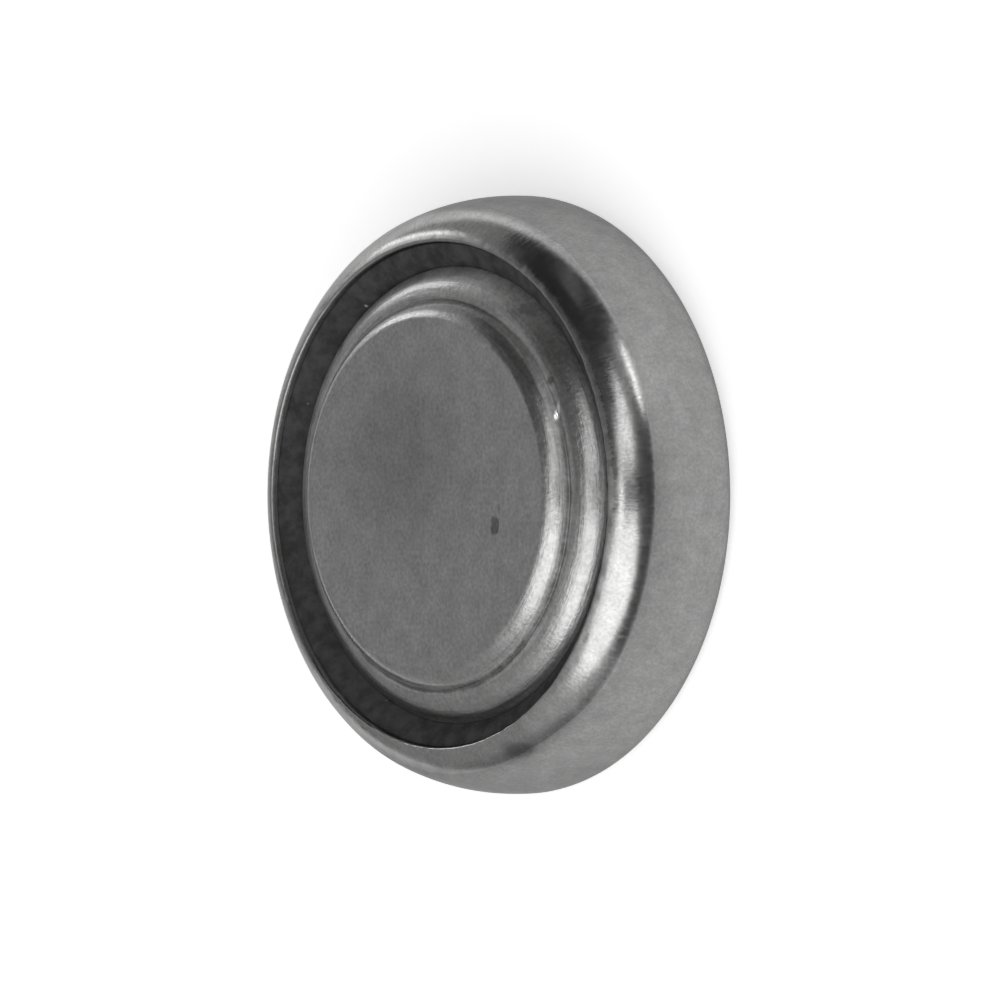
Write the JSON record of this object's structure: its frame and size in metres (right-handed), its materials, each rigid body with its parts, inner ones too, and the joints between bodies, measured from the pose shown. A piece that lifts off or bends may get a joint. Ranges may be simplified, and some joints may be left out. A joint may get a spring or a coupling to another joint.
{
  "type": "silver oxide button cell",
  "caption": "Round silver oxide button cell: plated steel can crimped over a dark sealing ring and a stepped negative cap.",
  "frame": {"origin": "centre of the positive face, where the cell rests", "axes": "+Z along the cell's axis from the positive face to the negative cap; X and Y across, with no preferred direction"},
  "size_m": [0.0116, 0.0116, 0.003],
  "materials": {
    "can_steel": "satin nickel plate, burnished on the crimp",
    "gasket_nylon": "matte moulded nylon",
    "cap_steel": "fine matte on the flat, bright on the shoulders",
    "silver_oxide": "pressed powder",
    "barrier_film": "clear membrane",
    "absorbent_fibre": "non-woven fibre",
    "zinc_gel": "wet grey paste"
  },
  "bodies": {
    "root": {"positive_can": "can_steel", "sealing_gasket": "gasket_nylon", "negative_cap": "cap_steel", "cathode_pellet": "silver_oxide", "barrier_film": "barrier_film", "absorbent_pad": "absorbent_fibre", "zinc_anode": "zinc_gel"}
  },
  "joints": []
}
